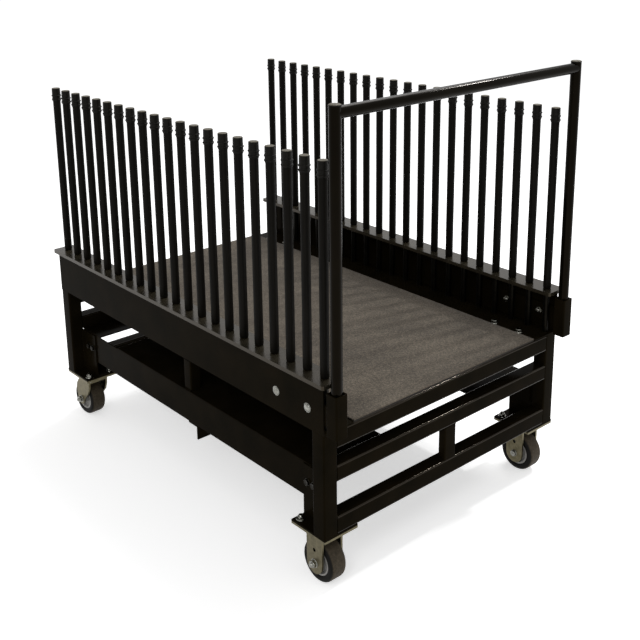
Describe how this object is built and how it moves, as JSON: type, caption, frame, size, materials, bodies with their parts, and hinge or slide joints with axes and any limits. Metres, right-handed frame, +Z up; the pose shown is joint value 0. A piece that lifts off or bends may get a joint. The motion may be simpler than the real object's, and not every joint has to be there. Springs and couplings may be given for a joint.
{
  "type": "glazing trolley",
  "caption": "Black steel glass cart on fixed and swivel casters, with a carpeted deck, harp rails of sleeved rods that hold panes on edge, and a lift-out push handle.",
  "frame": {"origin": "on the floor under the middle of the trolley's box", "axes": "X across the trolley, Y from the handle end to the other end, Z up"},
  "size_m": [1.06, 1.5676, 1.425],
  "materials": {
    "frame_paint": "gloss black powder coat",
    "rod_steel": "black oxide steel tube",
    "sleeve": "matt soft sleeve",
    "cap": "moulded black plastic",
    "board": "plywood",
    "carpet": "needle-felt carpet",
    "bolt_zinc": "zinc plated",
    "caster_zinc": "zinc plated sheet",
    "hub": "moulded nylon",
    "tyre": "solid rubber"
  },
  "bodies": {
    "chassis": {"front_left_post": "frame_paint", "front_right_post": "frame_paint", "rear_left_post": "frame_paint", "rear_right_post": "frame_paint", "front_top_bar": "frame_paint", "front_middle_bar": "frame_paint", "front_bottom_bar": "frame_paint", "rear_top_bar": "frame_paint", "rear_middle_bar": "frame_paint", "rear_bottom_bar": "frame_paint", "left_side_beam": "frame_paint", "left_deck_bearer": "frame_paint", "left_rail": "frame_paint", "left_rail_top": "frame_paint", "left_socket": "frame_paint", "right_side_beam": "frame_paint", "right_deck_bearer": "frame_paint", "right_rail": "frame_paint", "right_rail_top": "frame_paint", "right_socket": "frame_paint", "struts": "frame_paint", "corner_plates": "frame_paint", "side_shelves": "frame_paint", "uprights": "frame_paint", "centre_cross_member": "frame_paint", "caster_pads": "frame_paint", "harp_rods": "rod_steel", "rod_sleeves": "sleeve", "rod_caps": "cap", "deck_board": "board", "deck_carpet": "carpet", "socket_bolts": "bolt_zinc", "beam_bolts": "bolt_zinc", "rail_bolts": "bolt_zinc", "frame_nuts": "bolt_zinc", "caster_bolts": "bolt_zinc", "caster_nuts": "bolt_zinc", "front_axles": "bolt_zinc", "kingpins": "bolt_zinc", "race_balls": "bolt_zinc", "front_left_yoke": "caster_zinc", "front_right_yoke": "caster_zinc", "rear_left_caster_plate": "caster_zinc", "rear_right_caster_plate": "caster_zinc"},
    "handle": {"handle_left_post": "frame_paint", "handle_right_post": "frame_paint", "handle_crossbar": "frame_paint", "handle_caps": "cap"},
    "front_left_wheel": {"front_left_hub": "hub", "front_left_tyre": "tyre"},
    "rear_left_swivel": {"rear_left_fork": "caster_zinc", "rear_left_axle": "bolt_zinc"},
    "rear_left_wheel": {"rear_left_hub": "hub", "rear_left_tyre": "tyre"},
    "front_right_wheel": {"front_right_hub": "hub", "front_right_tyre": "tyre"},
    "rear_right_swivel": {"rear_right_fork": "caster_zinc", "rear_right_axle": "bolt_zinc"},
    "rear_right_wheel": {"rear_right_hub": "hub", "rear_right_tyre": "tyre"}
  },
  "joints": [
    {"name": "handle_lift", "type": "slide", "parent": "chassis", "child": "handle", "axis": [0, 0, 1], "range_m": [0, 0.14]},
    {"name": "front_left_roll", "type": "hinge", "parent": "chassis", "child": "front_left_wheel", "pos_m": [-0.453, -0.65478, 0.065], "axis": [1, 0, 0], "continuous": true},
    {"name": "rear_left_turn", "type": "hinge", "parent": "chassis", "child": "rear_left_swivel", "pos_m": [-0.453, 0.68722, 0.172], "axis": [0, 0, 1], "continuous": true},
    {"name": "rear_left_roll", "type": "hinge", "parent": "rear_left_swivel", "child": "rear_left_wheel", "pos_m": [-0.45405, 0.7172, 0.065], "axis": [0.9994, 0.0349, 0], "continuous": true},
    {"name": "front_right_roll", "type": "hinge", "parent": "chassis", "child": "front_right_wheel", "pos_m": [0.453, -0.65478, 0.065], "axis": [1, 0, 0], "continuous": true},
    {"name": "rear_right_turn", "type": "hinge", "parent": "chassis", "child": "rear_right_swivel", "pos_m": [0.453, 0.68722, 0.172], "axis": [0, 0, 1], "continuous": true},
    {"name": "rear_right_roll", "type": "hinge", "parent": "rear_right_swivel", "child": "rear_right_wheel", "pos_m": [0.45666, 0.71699, 0.065], "axis": [0.9925, -0.1219, 0], "continuous": true}
  ]
}
